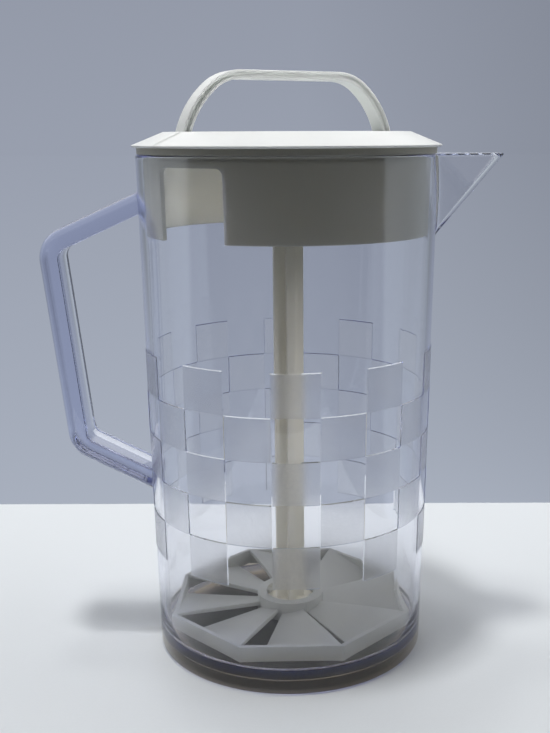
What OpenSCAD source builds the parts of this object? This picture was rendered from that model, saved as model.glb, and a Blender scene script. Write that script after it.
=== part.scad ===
// Quick-stir pitcher: a clear tapered jug with a lid that turns to open its pour notch,
// and a plunger whose paddle wheel is pumped up and down through the lid.
// Millimetres. The origin is on the jug's axis at table level, +Z is up,
// the spout points along +X and the side handle along -X.

/* [Jug] */
// Outer radius at the rim
rim_r = 64; // [58:0.5:70]
// Outer radius at the table
base_r = 60.2; // [56:0.1:64]
// Height of the rim
jug_h = 219.5; // [200:0.5:240]
// Thickness of the wall
wall = 2.4; // [2:0.1:3]
// Depth of the hollow under the floor
foot_h = 6; // [3:0.5:7]
// Thickness of the floor
floor_t = 3.5; // [2.5:0.1:4]
// Radial thickness of the foot ring
foot_t = 3.4; // [2.5:0.1:5]

/* [Checker band] */
// Height of the lowest row's bottom edge
band_z = 47.8; // [30:0.1:60]
// Height of one row
row_h = 18; // [14:0.5:20]
// Number of rows
rows = 5; // [3:1:6]
// Number of columns round the jug, an even number
columns = 20; // [16:2:24]
// Angle of one column boundary
band_angle = 12.5; // [0:0.5:18]
// How far a frosted panel stands proud of the wall
relief = 0.4; // [0.2:0.1:0.6]

/* [Spout] */
// Reach of the tip from the jug's axis
spout_tip = 92.6; // [84:0.1:98]
// Depth of the keel's root below the rim
spout_drop = 35; // [25:0.5:45]
// Half width where the spout leaves the rim
spout_half_w = 20; // [18:0.5:24]
// Radius of the spout's nose at the rim
spout_nose_r = 8; // [5:0.5:10]

/* [Side handle] */
// Thickness seen from the side of the loop
handle_t = 8.8; // [7:0.1:9]
// Width across the grip
handle_w = 20; // [14:0.5:24]
// Radius of the bar's long outer edges
handle_outer_edge = 4; // [2:0.1:4.2]
// Radius of the bar's long inner edges
handle_inner_edge = 3.4; // [2:0.1:4.2]
// Height of the upper arm's top edge at the wall
handle_top = 205.2; // [198:0.1:208]
// Height of the lower arm's bottom edge at the wall
handle_bottom = 72.2; // [66:0.1:80]
// Upper corner of the loop: distance from the axis
upper_corner_x = 107.5; // [100:0.5:112]
// Upper corner of the loop: height
upper_corner_z = 184.2; // [178:0.1:190]
// Lower corner of the loop: distance from the axis
lower_corner_x = 97.3; // [90:0.1:104]
// Lower corner of the loop: height
lower_corner_z = 90.3; // [86:0.1:96]
// Outer radius of the two corners
handle_r = 14; // [10:0.5:18]

/* [Lid] */
// Angle of the plunger handle and of the slot it drops into
lid_angle = 26; // [0:1:45]
// Radius of the brim
brim_r = 65.8; // [65.5:0.1:67]
// Thickness of the brim's edge
brim_t = 2; // [1.8:0.1:2.4]
// Radius of the cap's flat top
cap_top_r = 52.2; // [52:0.1:54]
// Height of the sloped cap above the brim
cap_h = 5.9; // [5:0.1:7]
// Angle of the fine ridge that runs down the cap's slope
ridge_angle = 219; // [180:1:270]
// Thickness of the cap and of the skirt
lid_t = 2.2; // [1.8:0.1:2.6]
// Depth of the skirt below the rim
skirt_drop = 33.1; // [25:0.1:40]
// Gap between the skirt and the jug's wall
skirt_gap = 0.7; // [0.5:0.1:1]
// Angle of the pour notch's middle
notch_angle = 232.5; // [180:0.5:270]
// Width of the pour notch
notch_w = 32; // [24:0.5:36]
// Height of the solid ring left above the pour notch, measured down from the rim
notch_top_drop = 4.5; // [3:0.1:8]
// Corner radius of the pour notch
notch_r = 3; // [1:0.5:5]

/* [Plunger handle] */
// Half span of the arch's feet
arch_half_span = 48; // [46:0.5:48.5]
// Height of the arch above the lid
arch_h = 24.6; // [22:0.1:28]
// Thickness of the strap
arch_t = 3.6; // [3:0.1:4.5]
// Width of the strap
arch_w = 10; // [8:0.5:12]
// Outer radius of the curved legs
leg_r = 39; // [36:0.5:42]
// Lean of the legs at the lid, from upright
leg_lean = 15; // [10:1:20]
// Outer radius of the arch's upper corners
arch_r = 20; // [12:1:24]
// Width of the groove along both sides of the strap
groove_w = 1.4; // [1:0.1:1.6]
// Depth of that groove
groove_depth = 2; // [1:0.1:3]
// Height of the bar that joins the feet inside the lid's slot
bar_h = 4; // [3:0.1:4.5]

/* [Plunger rod and paddle] */
// Angle of the rod's ribs
rod_angle = 12; // [0:1:45]
// Width across two opposite ribs of the rod
rod_span = 12.8; // [12:0.1:15]
// Thickness of a rib
rib_t = 3.6; // [1.8:0.1:4]
// Angle of one corner of the paddle wheel
stir_angle = 24; // [0:1:45]
// Corner radius of the paddle wheel
paddle_r = 56.3; // [54:0.1:56.5]
// Height of the paddle wheel's lower edge when it is down
paddle_z = 11.3; // [10.5:0.1:13]
// Height of the paddle wheel's rim
paddle_h = 7; // [6:0.1:8]
// Thickness of the paddle wheel's rim
paddle_rim_t = 2; // [1.6:0.1:3]
// Number of vanes and of sides
vanes = 8; // [8]
// Angle left open beside each vane
slot_angle = 8; // [6:0.5:12]
// Pitch of each vane
pitch = 11; // [6:0.5:12]
// Thickness of a vane
vane_t = 1.8; // [1.4:0.1:2.2]
// Radius of the hub
hub_r = 15.2; // [14.5:0.1:17]
// Height of the hub
hub_h = 8.5; // [8:0.1:10]

/* [Hidden] */
$fn = 96;
eps = 0.01;

// Heights of the lid's faces, from the rim up
seat = 0.1;
flange_t = 1.1;
brim_z = jug_h + seat + flange_t;
cap_z = brim_z + brim_t;
lid_top = cap_z + cap_h;

// Radii of the skirt, its flange and the ring of the cover that plugs into it
skirt_z = jug_h - skirt_drop;
skirt_top_r = rim_r - wall - skirt_gap;
skirt_low_r = jug_r(skirt_z) - wall - skirt_gap;
flange_r = rim_r - 0.6;
plug_r = skirt_top_r - lid_t - 0.1;
plug_h = 3;

// The guide that the rod slides through, and the slot that the plunger's bar drops into
slide_gap = 0.4;
guide_r = 12;
guide_z = jug_h - 14;
slot_w = arch_w + 2 * slide_gap;
slot_half_l = arch_half_span + slide_gap;
slot_z = lid_top - bar_h - 0.2;
bar_z = lid_top - bar_h;
boss_r = 9;
spigot_r = 4;
spigot_h = bar_h - 1;

// The hub's recess and the rod's foot that stands in it
recess_r = 11;
recess_z = paddle_z + 3.7;
rod_foot_r = recess_r - 0.3;
rod_foot_t = 2;
lugs = 4;
lug_w = 4;
lug_reach = 1.6;

// Outer radius of the plain wall at a height
function jug_r(z) = base_r + (rim_r - base_r) * z / jug_h;

function reversed(points) = [for (i = [len(points) - 1 : -1 : 0]) points[i]];

// Points of an arc from angle a to angle b
function arc(centre, r, a, b, steps = 8) =
    [for (i = [0 : steps]) centre + r * [cos(a + (b - a) * i / steps), sin(a + (b - a) * i / steps)]];

// A corner of an outline, rounded: the arc that touches both sides at p, on the way from a to b
function rounded(a, p, b, r, steps = 8) =
    let (
        u = (a - p) / norm(a - p),
        v = (b - p) / norm(b - p),
        half = acos(u * v) / 2,
        centre = p + (u + v) / norm(u + v) * r / sin(half),
        start = p + u * r / tan(half) - centre,
        end = p + v * r / tan(half) - centre,
        from = atan2(start[1], start[0]),
        sweep = (atan2(end[1], end[0]) - from + 540) % 360 - 180
    )
    arc(centre, r, from, from + sweep, steps);

// Jug

module jug_outside() {
    foot_round = 1.6;
    lip_round = 0.9;
    low = [jug_r(0), 0];
    high = [rim_r, jug_h];
    rotate_extrude()
        polygon(concat(
            [[0, 0]],
            rounded([0, 0], low, high, foot_round, 4),
            rounded(low, high, [0, jug_h], lip_round, 4),
            [[0, jug_h]]
        ));
    frosted_panels();
}

// Alternate panels of the checker band, each a little short of its neighbours' corners
module frosted_panels() {
    inset = 0.1;
    root = 0.8;
    turn = 360 / columns;
    turn_inset = inset / base_r * 180 / PI;
    for (row = [0 : rows - 1], column = [0 : columns - 1])
        if ((row + column) % 2 == 0) {
            z0 = band_z + row * row_h + inset;
            z1 = z0 + row_h - 2 * inset;
            rotate([0, 0, band_angle + column * turn + turn_inset])
                rotate_extrude(angle = turn - 2 * turn_inset)
                    polygon([
                        [jug_r(z0) - root, z0],
                        [jug_r(z0) + relief, z0],
                        [jug_r(z1) + relief, z1],
                        [jug_r(z1) - root, z1]
                    ]);
        }
}

module jug_inside() {
    floor_z = foot_h + floor_t;
    corner = 3;
    low = [jug_r(floor_z) - wall, floor_z];
    high = [rim_r - wall, jug_h];
    rotate_extrude()
        polygon(concat(
            [[0, floor_z]],
            rounded([0, floor_z], low, high, corner, 5),
            [high, high + [0, 1], [0, jug_h + 1]]
        ));
    translate([0, 0, -1])
        cylinder(h = foot_h + 1, r = base_r - foot_t);
}

// The beak as a cone from its keel's root up to a height, with its sides set in from the outer faces.
// At the rim its plan is two straight sides that touch a round nose.
module beak(top_z, inset) {
    root_z = jug_h - spout_drop;
    side_x = sqrt(rim_r * rim_r - spout_half_w * spout_half_w) - 1;
    nose_x = spout_tip - spout_nose_r;
    run = [nose_x - side_x, spout_half_w];
    half_angle = atan2(run[1], run[0]) - asin(spout_nose_r / norm(run));
    side = [side_x, spout_half_w] - inset * [sin(half_angle), cos(half_angle)];
    nose = arc([nose_x, 0], spout_nose_r - inset, 90 - half_angle, half_angle - 90);
    plan = concat([side], nose, [[side[0], -side[1]]]);
    root = [jug_r(root_z) - inset / sin(half_angle), 0, root_z];
    grow = (top_z - root_z) / spout_drop;
    count = len(plan);
    polyhedron(
        points = concat([root], [for (p = plan) root + grow * ([p[0], p[1], jug_h] - root)]),
        faces = concat(
            [[for (i = [1 : count]) i], [0, 1, count]],
            [for (i = [1 : count - 1]) [0, i + 1, i]]
        )
    );
}

module jug_shell() {
    color("#c3c6ea", 0.4)
        difference() {
            union() {
                jug_outside();
                beak(jug_h, 0);
            }
            jug_inside();
            beak(jug_h + 6, wall);
        }
}

// The loop's outline in the plane of the handle, with the roots run on into the wall
function loop_line(inset) =
    let (
        root_x = base_r - 3,
        top_dir = [upper_corner_x - jug_r(handle_top), upper_corner_z - handle_top],
        low_dir = [lower_corner_x - jug_r(handle_bottom), lower_corner_z - handle_bottom],
        grip_dir = [lower_corner_x - upper_corner_x, lower_corner_z - upper_corner_z],
        top_n = [top_dir[1], -top_dir[0]] / norm(top_dir),
        grip_n = [grip_dir[1], -grip_dir[0]] / norm(grip_dir),
        low_n = [-low_dir[1], low_dir[0]] / norm(low_dir),
        upper = cross_point([upper_corner_x, upper_corner_z] + inset * top_n, top_dir,
                            [upper_corner_x, upper_corner_z] + inset * grip_n, grip_dir),
        lower = cross_point([lower_corner_x, lower_corner_z] + inset * low_n, low_dir,
                            [lower_corner_x, lower_corner_z] + inset * grip_n, grip_dir),
        top_root = upper + top_dir * (root_x - upper[0]) / top_dir[0],
        low_root = lower + low_dir * (root_x - lower[0]) / low_dir[0]
    )
    concat(
        [top_root],
        rounded(top_root, upper, lower, handle_r - inset),
        rounded(upper, lower, low_root, handle_r - inset),
        [low_root]
    );

// Where the line through p along u meets the line through q along v
function cross_point(p, u, q, v) =
    p + u * ((q[0] - p[0]) * v[1] - (q[1] - p[1]) * v[0]) / (u[0] * v[1] - u[1] * v[0]);

// The bar's rounded section, as [distance in from the loop's outer line, offset across]
function bar_section() =
    let (
        half = handle_w / 2,
        corners = [[0, -half], [0, half], [handle_t, half], [handle_t, -half]],
        edges = [handle_outer_edge, handle_outer_edge, handle_inner_edge, handle_inner_edge]
    )
    [for (i = [0 : 3])
        for (p = rounded(corners[(i + 3) % 4], corners[i], corners[(i + 1) % 4], edges[i], 4)) p];

module side_handle() {
    section = bar_section();
    lines = [for (place = section) loop_line(place[0])];
    count = len(section);
    length = len(lines[0]);
    color("#b9bdea", 0.5)
        difference() {
            polyhedron(
                points = [for (k = [0 : count - 1]) for (p = lines[k]) [-p[0], section[k][1], p[1]]],
                faces = concat(
                    [[for (k = [0 : count - 1]) k * length]],
                    [[for (k = [count - 1 : -1 : 0]) k * length + length - 1]],
                    [for (k = [0 : count - 1]) for (i = [0 : length - 2])
                        let (here = k * length + i, next = ((k + 1) % count) * length + i)
                        [here, here + 1, next + 1, next]]
                )
            );
            cylinder(h = jug_h, r1 = base_r, r2 = rim_r);
        }
}

// Lid

// The cover as a body of revolution: sloped cap, brim and the ring that plugs into the skirt
module cover_body() {
    inner_r = plug_r - lid_t;
    slope = (brim_r - cap_top_r) / cap_h;
    set_in = lid_t * sqrt(1 + slope * slope);
    under_z = lid_top - lid_t;
    rotate_extrude()
        polygon([
            [0, under_z],
            [cap_top_r + slope * lid_t - set_in, under_z],
            [inner_r, cap_z + (brim_r - set_in - inner_r) / slope],
            [inner_r, brim_z - plug_h],
            [plug_r, brim_z - plug_h],
            [plug_r, brim_z],
            [brim_r - 1.2, brim_z],
            [brim_r, cap_z - 0.4],
            [brim_r, cap_z],
            [cap_top_r, lid_top],
            [0, lid_top]
        ]);
}

// A fine ridge down the cap's slope
module cap_ridge() {
    ridge_w = 1;
    ridge_rise = 0.4;
    rotate([90, 0, ridge_angle])
        linear_extrude(height = ridge_w, center = true)
            polygon([
                [cap_top_r - 1, lid_top - 1],
                [cap_top_r - 0.5, lid_top - 0.05],
                [cap_top_r + 0.7, lid_top - 0.05],
                [brim_r - 0.4, cap_z + ridge_rise],
                [brim_r - 0.4, cap_z - 0.2],
                [brim_r - 4, cap_z - 0.2]
            ]);
}

module lid_block(half_l, half_w, low_z, high_z) {
    rotate([0, 0, lid_angle])
        translate([-half_l, -half_w, low_z])
            cube([2 * half_l, 2 * half_w, high_z - low_z]);
}

module rod_section(clearance) {
    for (turn = [0, 90])
        rotate(rod_angle + turn)
            square([rod_span + 2 * clearance, rib_t + 2 * clearance], center = true);
}

module lid_cover() {
    color("#f4f4ee")
        difference() {
            union() {
                cover_body();
                cap_ridge();
                lid_block(slot_half_l + 1.8, slot_w / 2 + 1.8, slot_z - 2, lid_top - lid_t + eps);
                translate([0, 0, guide_z])
                    cylinder(h = lid_top - lid_t - guide_z + eps, r = guide_r);
            }
            lid_block(slot_half_l, slot_w / 2, slot_z, lid_top + 1);
            translate([0, 0, slot_z])
                cylinder(h = lid_top, r = boss_r + slide_gap);
            translate([0, 0, guide_z - 1])
                linear_extrude(height = lid_top)
                    rod_section(slide_gap);
        }
}

// The notch's outline, open at the bottom, with its upper corners rounded
module notch_shape() {
    top = jug_h - notch_top_drop;
    left = [-notch_w / 2, skirt_z - 1];
    right = [notch_w / 2, skirt_z - 1];
    upper_left = [-notch_w / 2, top];
    upper_right = [notch_w / 2, top];
    polygon(concat(
        [right],
        rounded(right, upper_right, upper_left, notch_r),
        rounded(upper_right, upper_left, left, notch_r),
        [left]
    ));
}

module lid_skirt() {
    color("#e4e0d2")
        difference() {
            rotate_extrude()
                polygon([
                    [skirt_low_r - lid_t, skirt_z],
                    [skirt_low_r, skirt_z],
                    [skirt_top_r, jug_h - 1],
                    [skirt_top_r, jug_h + seat],
                    [flange_r, jug_h + seat],
                    [flange_r, brim_z],
                    [skirt_top_r - lid_t, brim_z],
                    [skirt_top_r - lid_t, jug_h - 6]
                ]);
            rotate([90, 0, notch_angle + 90])
                linear_extrude(height = rim_r)
                    notch_shape();
        }
}

// Plunger

// Outline of one leg, offset inwards: up from the lid, then round the upper corner to the straight run
function leg_line(inset, low_z) =
    let (
        centre = [arch_half_span - leg_r * cos(leg_lean), -leg_r * sin(leg_lean)],
        start = asin((low_z - centre[1]) / (leg_r - inset)),
        turn = asin((arch_h - arch_r - centre[1]) / (leg_r - arch_r)),
        corner = centre + (leg_r - arch_r) * [cos(turn), sin(turn)]
    )
    concat(
        arc(centre, leg_r - inset, start, turn, 10),
        arc(corner, arch_r - inset, turn + (90 - turn) / 6, 90, 5)
    );

function flipped(points) = [for (p = points) [-p[0], p[1]]];

// The strap's outline between two offsets from its outer face
module strap(from_inset, to_inset, low_z) {
    outer = leg_line(from_inset, low_z);
    inner = leg_line(to_inset, low_z);
    polygon(concat(outer, reversed(flipped(outer)), flipped(inner), reversed(inner)));
}

module plunger_handle() {
    color("#f4f4ee")
        difference() {
            union() {
                translate([0, 0, lid_top])
                    rotate([90, 0, lid_angle])
                        linear_extrude(height = arch_w, center = true)
                            strap(0, arch_t, -0.5);
                lid_block(arch_half_span, arch_w / 2, bar_z, lid_top);
                translate([0, 0, bar_z])
                    cylinder(h = bar_h, r = boss_r);
            }
            translate([0, 0, lid_top])
                rotate([90, 0, lid_angle])
                    for (side = [-1, 1])
                        translate([0, 0, side * arch_w / 2])
                            linear_extrude(height = 2 * groove_depth, center = true)
                                strap((arch_t - groove_w) / 2, (arch_t + groove_w) / 2, 1);
            translate([0, 0, bar_z - 1])
                cylinder(h = 1 + spigot_h, r = spigot_r + 0.05);
        }
}

module plunger_rod() {
    color("#d9d4c0")
        union() {
            translate([0, 0, recess_z])
                cylinder(h = rod_foot_t, r = rod_foot_r);
            translate([0, 0, recess_z + rod_foot_t - eps])
                linear_extrude(height = bar_z - recess_z - rod_foot_t + eps)
                    rod_section(0);
            translate([0, 0, bar_z - eps])
                cylinder(h = spigot_h - 0.1, r = spigot_r);
        }
}

// One flat vane, pitched about its own centre line, high on its leading side
module vane() {
    half = (360 / vanes - slot_angle) / 2;
    inner = hub_r - 1.5;
    outer = paddle_r + 3;
    rotate([0, 0, slot_angle + half])
        rotate([pitch, 0, 0])
            linear_extrude(height = vane_t, center = true)
                polygon([
                    inner * [cos(half), -sin(half)],
                    outer * [cos(half), -sin(half)],
                    [outer, 0],
                    outer * [cos(half), sin(half)],
                    inner * [cos(half), sin(half)]
                ]);
}

module paddle_wheel() {
    lug_z = recess_z + rod_foot_t + 0.3;
    color("#dcdcd6")
        translate([0, 0, paddle_z])
            rotate([0, 0, stir_angle])
                difference() {
                    union() {
                        difference() {
                            cylinder(h = paddle_h, r = paddle_r, $fn = 8);
                            translate([0, 0, -1])
                                cylinder(h = paddle_h + 2, r = paddle_r - paddle_rim_t, $fn = 8);
                        }
                        intersection() {
                            cylinder(h = paddle_h, r = paddle_r - paddle_rim_t / 2, $fn = 8);
                            for (i = [0 : vanes - 1])
                                rotate([0, 0, i * 360 / vanes])
                                    translate([0, 0, paddle_h / 2])
                                        vane();
                        }
                        cylinder(h = hub_h, r = hub_r);
                    }
                    difference() {
                        translate([0, 0, recess_z - paddle_z])
                            cylinder(h = hub_h, r = recess_r);
                        for (i = [0 : lugs - 1])
                            rotate([0, 0, 45 + i * 360 / lugs])
                                translate([recess_r - lug_reach, -lug_w / 2, lug_z - paddle_z])
                                    cube([lug_reach + 1, lug_w, 1.4]);
                    }
                }
}

jug_shell();
side_handle();
lid_cover();
lid_skirt();
plunger_handle();
plunger_rod();
paddle_wheel();
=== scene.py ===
"""Looks of the quick-stir pitcher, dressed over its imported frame.

The jug's axis is Z, its spout points along +X and its side handle along -X.
Sizes of the part are in millimetres, places in the scene in metres, and angles in degrees.
"""
import math

import bmesh
import bpy
from mathutils import Matrix, Vector


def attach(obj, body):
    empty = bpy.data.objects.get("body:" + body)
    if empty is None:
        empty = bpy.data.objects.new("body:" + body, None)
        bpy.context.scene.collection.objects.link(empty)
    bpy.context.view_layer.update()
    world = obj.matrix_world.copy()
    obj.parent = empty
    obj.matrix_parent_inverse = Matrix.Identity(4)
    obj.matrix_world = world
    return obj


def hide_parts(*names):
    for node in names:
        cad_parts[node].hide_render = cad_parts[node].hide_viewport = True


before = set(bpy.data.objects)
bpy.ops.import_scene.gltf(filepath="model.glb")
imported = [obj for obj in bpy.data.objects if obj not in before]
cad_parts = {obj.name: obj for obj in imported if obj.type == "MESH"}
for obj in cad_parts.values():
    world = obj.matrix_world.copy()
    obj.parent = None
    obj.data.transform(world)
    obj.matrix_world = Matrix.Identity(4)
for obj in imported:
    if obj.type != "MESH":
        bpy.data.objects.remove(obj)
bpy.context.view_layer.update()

MM = 0.001

# Camera, fitted to the photograph
PHOTO_W = 550
PHOTO_H = 733
FOCAL_PX = 1018.2
CAMERA_AT = (0.00774, -0.4426, 0.2270)
CAMERA_TILT = 12.785
CAMERA_PAN = -0.089
CAMERA_ROLL = -0.203
CAMERA_SHIFT = -0.0402
SENSOR = 36.0

# Jug
RIM_R = 64.0
BASE_R = 60.2
JUG_H = 219.5
WALL = 2.4
FOOT_H = 6.0
FLOOR_Z = 9.5
FOOT_IN_R = 56.8
FOOT_ROUND = 1.6
FOOT_IN_ROUND = 0.5
UNDERSIDE_FILLET = 1.0
LIP_ROUND = 1.1
INNER_LIP = 1.0
FLOOR_FILLET = 3.0

# Rings and columns of the jug's mesh
DISC_RINGS = (0.4, 0.8)
UNDERSIDE_RINGS = 6
EDGE_STEPS = 3
ROUND_STEPS = 5
LIP_STEPS = 6
WALL_STEP = 9.0
PANEL_STEP = 6.0
SPOUT_STEP = 1.0
COLUMN_STEP = 2.0
COLUMN_GAP = 0.1
KEEL_COLUMNS = ((2.4, 0.12), (8.0, 0.25), (28.0, 0.5))

# Checker band
BAND_Z = 47.8
ROW_H = 18.0
ROWS = 5
COLUMNS = 20
BAND_ANGLE = 12.5
RELIEF = 0.25
PANEL_INSET = 0.18

# Spout
SPOUT_TIP = 92.6
SPOUT_DROP = 35.0
SPOUT_MARGIN = 6.0
SPOUT_HALF_W = 20.0
SPOUT_SIDE_SINK = 1.0
SPOUT_NOSE_R = 8.0
KEEL_R = 3.0
KEEL_LEAST_R = 0.4
KEEL_START = -0.2
SPOUT_FILLET = 1.6
SPOUT_SPREAD = 60.0

# Side handle
HANDLE_T = 8.8
HANDLE_W = 20.0
HANDLE_TOP = 204.0
HANDLE_BOTTOM = 72.2
UPPER_CORNER = (107.5, 184.2)
LOWER_CORNER = (97.3, 90.3)
HANDLE_R = 14.0
HANDLE_OUTER_EDGE = 4.0
HANDLE_INNER_EDGE = 1.2
HANDLE_BEND_STEPS = 12
HANDLE_EDGE_STEPS = 8
ROOT_SINK = 0.2
ROOT_ATTEMPTS = 12

# Lid
LID_ANGLE = 26.0
BRIM_R = 65.8
BRIM_Z = 222.3
BRIM_SET_IN = 1.2
BRIM_EDGE = 0.3
CAP_Z = 223.3
CAP_RIM_DROP = 0.2
CAP_RIM_EDGE = 0.25
CAP_TOP_R = 52.2
CAP_TOP_EDGE = 0.8
LID_TOP = 228.6
LID_T = 2.2
PLUG_R = 58.6
PLUG_H = 3.0
RIDGE_ANGLE = 219.0
RIDGE_HALF_W = 0.5
RIDGE_RISE = 0.4
RIDGE_SINK = 0.2
RIDGE_TOP_GAP = 0.2
RIDGE_LOW_GAP = 0.4
RIDGE_TAPER = 0.1
SLOT_GAP = 0.4
SLOT_Z = 224.4
SLOT_FLOOR = 2.0
SLOT_WALL = 1.8
GUIDE_R = 12.0
GUIDE_Z = 205.5
COVER_EDGE = 0.25
CUT_PAST = 1.0
CUT_APART = 0.01

# Skirt
SKIRT_Z = 186.4
SKIRT_GAP = 0.7
SKIRT_LOW_EDGE = 0.5
SKIRT_OUTER_TAPER = 1.0
SKIRT_INNER_TAPER = 6.0
FLANGE_R = 63.4
FLANGE_Z = 219.6
FLANGE_EDGE = 0.3
NOTCH_ANGLE = 232.5
NOTCH_W = 32.0
NOTCH_TOP = 215.0
NOTCH_R = 3.0
NOTCH_FROM = 5.0
NOTCH_STEPS = 8
NOTCH_EDGE = 0.4

# Plunger
ARCH_HALF_SPAN = 48.0
ARCH_H = 24.6
ARCH_T = 3.6
ARCH_W = 10.0
ARCH_R = 20.0
ARCH_STEPS = 12
LEG_R = 39.0
LEG_LEAN = 15.0
LEG_STEPS = 24
LEG_FOOT_RISE = 1.0
GROOVE_W = 1.4
GROOVE_DEPTH = 2.0
STRAP_EDGE = 0.4
STRAP_STEPS = 3
BAR_Z = 224.6
BAR_EDGE = 0.3
BOSS_R = 9.0
ROD_ANGLE = 12.0
ROD_SPAN = 12.8
ROD_EDGE = 0.3
RIB_T = 3.6
PADDLE_EDGE = 0.35

# Finish of the meshes
MERGE = 0.000001
CAD_MERGE = 0.000002
CAD_FLAT = 0.4
CORNER_STEPS = 4
CORNER_HOLD = 0.12
BEVEL_ANGLE = 32.0
BEVEL_STEPS = 2
TURNED_STEPS = 240
CIRCLE_STEPS = 72
SHARP_ANGLE = 35.0
WALL_SHARP_ANGLE = 28.0
BAR_SHARP_ANGLE = 40.0

# Moulded plastic: linear colours, noise scales per metre, depths in metres
PLASTIC_WHITE = (0.87, 0.89, 0.87)
# The insert's ivory is set darker than the rod's, which is the same plastic, as painted shade on the insert
PLASTIC_IVORY_SHADED = (0.47, 0.455, 0.385)
PLASTIC_ROD = (0.93, 0.88, 0.73)
PLASTIC_GREY_WHITE = (0.52, 0.52, 0.47)
WARM_WHITE = (1.0, 0.99, 0.96)
WARM_IVORY = (1.0, 0.98, 0.93)
MOULDED_IOR = 1.49
CLOUD_SCALE = 38.0
CLOUD_DARK = 0.97
GRAIN_SCALE = 2600.0
GRAIN_STRENGTH = 0.04
GRAIN_DEPTH = 0.0002
SCUFF_SCALE = 160.0
SCUFF_POLISHED = 0.06
SCUFF_DULLED = 0.1

# Clear plastic: linear colours, noise scales per metre, depths and places in metres
ABSORPTION = (0.02, 0.17, 0.84)
ABSORPTION_DENSITY = 16.0
CLEAR = (1.0, 1.0, 1.0)
CLEAR_IOR = 1.5
# Painted shade at the jug's foot: the clear plastic's colour is darker and less blue low down, fading out
# between these heights in metres
FOOT_PAINTED_SHADE = (0.85, 0.72, 0.50)
FOOT_PAINTED_SHADE_Z = (0.008, 0.013)
WALL_SHADE = (0.62, 0.63, 0.68)
BAR_SHADE = (0.08, 0.085, 0.10)
SPOUT_SHADE = (0.25, 0.26, 0.30)
SPOUT_SHADE_X = (0.064, 0.070)
SMEAR_SCALE = 45.0
SMEAR_ROUGHNESS = (0.015, 0.07)
WAVE_SCALE = 60.0
WAVE_STRENGTH = 0.04
WAVE_DEPTH = 0.0004
FROST_SCALE = 2600.0
FROST_ROUGHNESS = (0.22, 0.26)
FROST_SCATTER = (0.10, 0.18)
FROST_COLOUR = (0.95, 0.95, 0.92)
PIT_STRENGTH = 0.02
PIT_DEPTH = 0.0003

# White board under the jug
BOARD = (0.80, 0.83, 0.85)
BOARD_HALF_X = 0.215
BOARD_BACK = 0.167
BOARD_FRONT = -0.40
BOARD_ROUGHNESS = 0.55
# Painted light on the board: it grows brighter by this factor from this depth to its back edge, in metres
BOARD_PAINTED_LIGHT = 1.1
BOARD_PAINTED_LIGHT_FROM = 0.02
PAPER_SCALE = 900.0
PAPER_DARK = 0.98
PAPER_STRENGTH = 0.05
PAPER_DEPTH = 0.0002
# Painted shadow on the board under the jug: radii in metres over which it fades out, and its darkness inside
FOOT_SHADOW_PAINTED_R = (0.052, 0.060)
FOOT_SHADOW_PAINTED_LEVEL = 0.05

# Grey-blue ground and backdrop
GROUND_HALF = 12.0
GROUND_DROP = 0.0002
GROUND_NEAR = (0.40, 0.44, 0.52)
GROUND_FAR = (0.315, 0.345, 0.42)
GROUND_FADE = 0.4426
GROUND_DULL = (0.06, 0.06, 0.07)
SKY_LOW = GROUND_FAR
SKY_HIGH = (0.24, 0.26, 0.32)
SKY_HIGH_AT = 0.5
DUSK = 0.78
DUSK_AT = 0.26
WEDGE_FROM = 0.45
WEDGE_LEAST = 0.05
WEDGE_EDGE = (0.36, 0.6)
WEDGE_FRONT = (-0.5, 0.0)
BACKDROP_EDGE = (0.80, 0.92)

# Room around the object, by direction: depth from -1 in front to 1 behind, height from 0 to 1
ROOM = (0.055, 0.05, 0.045)
SIDE_WALLS = (0.85, 0.93, 1.0)
SIDE_LEVELS = ((0.0, 0.0), (0.05, 1.0), (0.68, 0.75), (1.0, 0.3))
SIDE_DEPTH = (-0.25, 0.85)
SIDE_GLOW = 0.7
CEILING_FRONT = (0.40, 0.40, 0.42)
CEILING_BACK = (0.20, 0.21, 0.24)
CEILING_HEIGHT = (0.22, 0.45)
CEILING_DEPTH = (-0.2, 0.4)
DOME_FRONT = (0.7, 0.7, 0.7)
DOME_BACK = (1.8, 1.8, 1.8)
FILL_FRONT = (0.01, 0.01, 0.012)
FILL_BACK = (0.40, 0.42, 0.46)
FILL_DEPTH = (-0.3, 0.8)

# Lamps
CEILING_AIM = (0.0, 0.0, 0.1)
CEILING_LAMP = (0.12, 0.12)
SIDE_LAMP = (1.15, 0.9)
BEAM_STRIP = 0.01


def set_camera():
    """The camera at the photograph's viewing angle."""
    tilt = math.radians(CAMERA_TILT)
    pan = math.radians(CAMERA_PAN)
    roll = math.radians(CAMERA_ROLL)
    forward = math.cos(tilt)
    ahead = Vector((math.sin(pan) * forward, math.cos(pan) * forward, -math.sin(tilt)))
    level = ahead.cross(Vector((0, 0, 1))).normalized()
    plumb = level.cross(ahead)
    right = level * math.cos(roll) + plumb * math.sin(roll)
    up = plumb * math.cos(roll) - level * math.sin(roll)
    data = bpy.data.cameras.new("camera")
    data.sensor_fit = "AUTO"
    data.sensor_width = SENSOR
    data.lens = FOCAL_PX / max(PHOTO_W, PHOTO_H) * SENSOR
    data.shift_x = CAMERA_SHIFT
    camera = bpy.data.objects.new("camera", data)
    bpy.context.scene.collection.objects.link(camera)
    turn = Matrix((right, up, -ahead)).transposed().to_4x4()
    camera.matrix_world = Matrix.Translation(CAMERA_AT) @ turn
    bpy.context.scene.camera = camera


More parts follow.
